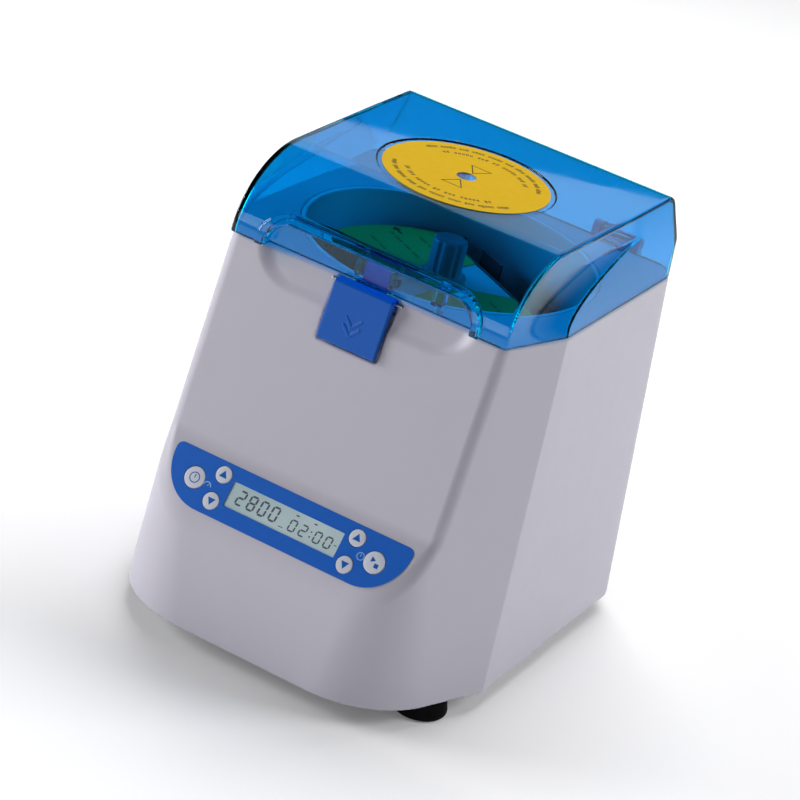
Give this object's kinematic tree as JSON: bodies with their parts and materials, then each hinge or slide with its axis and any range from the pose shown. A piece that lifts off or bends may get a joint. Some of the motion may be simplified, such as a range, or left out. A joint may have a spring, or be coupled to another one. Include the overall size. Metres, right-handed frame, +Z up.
{
  "type": "microplate centrifuge",
  "caption": "Bench-top centrifuge for microplates: white drafted housing, hinged clear blue lid, upright plate rotor, latch tab and sloping key panel.",
  "frame": {"origin": "on the bench top, under the middle of the plan outline", "axes": "+X to the machine's right as seen from the front, +Y to its back, +Z up"},
  "size_m": [0.237, 0.279, 0.28],
  "materials": {
    "housing_white": "fine moulded satin",
    "base_grey": "moulded matt",
    "rubber": "matt",
    "screw_steel": "zinc plated",
    "bowl_white": "moulded satin",
    "motor_dark": "satin",
    "bracket_grey": "moulded satin",
    "black_plastic": "moulded satin",
    "plunger_white": "satin",
    "overlay_blue": "printed film, satin gloss",
    "display": "clear window over a pale display",
    "board": "lacquered",
    "supply_metal": "pressed sheet",
    "lid_clear_blue": "clear, polished",
    "label_yellow": "printed film, satin",
    "rotor_grey": "moulded satin",
    "carrier_dark": "moulded satin",
    "rotor_green": "printed film, satin",
    "knob_grey": "moulded satin",
    "latch_blue": "polished moulding",
    "key_pale": "printed film, satin"
  },
  "bodies": {
    "housing": {"housing_shell": "housing_white", "base_plate": "base_grey", "foot_front_left": "rubber", "foot_front_right": "rubber", "foot_rear_left": "rubber", "foot_rear_right": "rubber", "foot_screw_front_left": "screw_steel", "foot_screw_front_right": "screw_steel", "foot_screw_rear_left": "screw_steel", "foot_screw_rear_right": "screw_steel", "bowl_liner": "bowl_white", "shaft_seal": "rubber", "motor": "motor_dark", "motor_plate": "screw_steel", "motor_damper_1": "rubber", "motor_damper_2": "rubber", "motor_damper_3": "rubber", "motor_damper_4": "rubber", "hinge_bracket_left": "bracket_grey", "hinge_bracket_right": "bracket_grey", "hinge_pin_left": "screw_steel", "hinge_pin_right": "screw_steel", "hinge_screw_left_1": "screw_steel", "hinge_screw_left_2": "screw_steel", "hinge_screw_right_1": "screw_steel", "hinge_screw_right_2": "screw_steel", "latch_pin": "screw_steel", "latch_spring": "screw_steel", "lid_switch_body": "black_plastic", "panel_overlay": "overlay_blue", "display_module": "display", "control_board": "board", "mains_inlet": "black_plastic", "inlet_screw_left": "screw_steel", "inlet_screw_right": "screw_steel", "power_switch_frame": "black_plastic", "power_supply": "supply_metal"},
    "lid": {"lid_shell": "lid_clear_blue", "lid_label": "label_yellow"},
    "rotor": {"rotor_block": "rotor_grey", "plate_carrier_front": "carrier_dark", "plate_carrier_rear": "carrier_dark", "rotor_label_right": "rotor_green", "rotor_label_left": "rotor_green", "rotor_shaft": "screw_steel", "rotor_knob": "knob_grey"},
    "latch": {"latch_lever": "latch_blue"},
    "lid_plunger": {"lid_switch_plunger": "plunger_white"},
    "short_run": {"short_run_key": "key_pale"},
    "speed_up": {"speed_up_key": "key_pale"},
    "speed_down": {"speed_down_key": "key_pale"},
    "time_up": {"time_up_key": "key_pale"},
    "time_down": {"time_down_key": "key_pale"},
    "start_stop": {"start_stop_key": "key_pale"},
    "rocker": {"power_switch_rocker": "black_plastic"}
  },
  "joints": [
    {"name": "lid_hinge", "type": "hinge", "parent": "housing", "child": "lid", "pos_m": [0, 0.1187, 0.239], "axis": [-1, 0, 0], "range_deg": [0, 75]},
    {"name": "rotor_spin", "type": "hinge", "parent": "housing", "child": "rotor", "pos_m": [0, 0.0125, 0.1], "axis": [0, 0, 1], "continuous": true},
    {"name": "latch_press", "type": "hinge", "parent": "housing", "child": "latch", "pos_m": [0, -0.0865, 0.2315], "axis": [1, 0, 0], "range_deg": [0, 6], "stiffness_Nm_per_rad": 0.5, "springref_deg": -5.73, "deforming": ["latch_spring"]},
    {"name": "lid_plunger_slide", "type": "slide", "parent": "housing", "child": "lid_plunger", "axis": [0, 0, -1], "range_m": [0, 0.002], "stiffness_N_per_m": 150, "springref_m": -0.001},
    {"name": "short_run_press", "type": "slide", "parent": "housing", "child": "short_run", "axis": [0, 0.8363, -0.5483], "range_m": [0, 0.0005], "stiffness_N_per_m": 600, "springref_m": -0.0005},
    {"name": "speed_up_press", "type": "slide", "parent": "housing", "child": "speed_up", "axis": [0, 0.8363, -0.5483], "range_m": [0, 0.0005], "stiffness_N_per_m": 600, "springref_m": -0.0005},
    {"name": "speed_down_press", "type": "slide", "parent": "housing", "child": "speed_down", "axis": [0, 0.8363, -0.5483], "range_m": [0, 0.0005], "stiffness_N_per_m": 600, "springref_m": -0.0005},
    {"name": "time_up_press", "type": "slide", "parent": "housing", "child": "time_up", "axis": [0, 0.8363, -0.5483], "range_m": [0, 0.0005], "stiffness_N_per_m": 600, "springref_m": -0.0005},
    {"name": "time_down_press", "type": "slide", "parent": "housing", "child": "time_down", "axis": [0, 0.8363, -0.5483], "range_m": [0, 0.0005], "stiffness_N_per_m": 600, "springref_m": -0.0005},
    {"name": "start_stop_press", "type": "slide", "parent": "housing", "child": "start_stop", "axis": [0, 0.8363, -0.5483], "range_m": [0, 0.0005], "stiffness_N_per_m": 600, "springref_m": -0.0005},
    {"name": "rocker_tip", "type": "hinge", "parent": "housing", "child": "rocker", "pos_m": [0.008, 0.126, 0.056], "axis": [1, 0, 0], "range_deg": [0, 14]}
  ]
}
